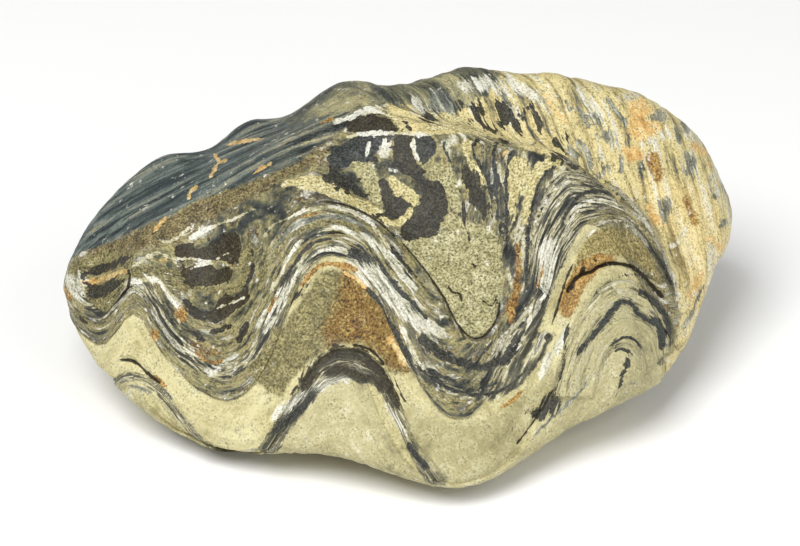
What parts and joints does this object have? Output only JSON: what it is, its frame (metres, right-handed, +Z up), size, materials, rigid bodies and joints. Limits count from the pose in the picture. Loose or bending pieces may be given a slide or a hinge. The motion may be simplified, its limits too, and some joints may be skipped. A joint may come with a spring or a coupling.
{
  "type": "fossil oyster",
  "caption": "Polished fossil oyster lying on its worn flat: folded upper and lower valves joined by sediment, with zigzag bands of shell layers along the front.",
  "frame": {"origin": "middle of the bounding box's base, on the surface that the worn flat lies on", "axes": "+X along the shell towards its broad right end, +Y from the folded front margin towards the hinge side, +Z up through the valves"},
  "size_m": [0.1209, 0.0872, 0.0502],
  "materials": {
    "upper_valve": "worn and lightly polished, in thin dark, white and olive layers",
    "sediment": "fine-grained, dull to satin, cream to olive with rust-coloured patches",
    "lower_valve": "worn, satin, pale cream with a dark layered edge"
  },
  "bodies": {
    "root": {"upper_valve": "upper_valve", "sediment": "sediment", "lower_valve": "lower_valve"}
  },
  "joints": []
}
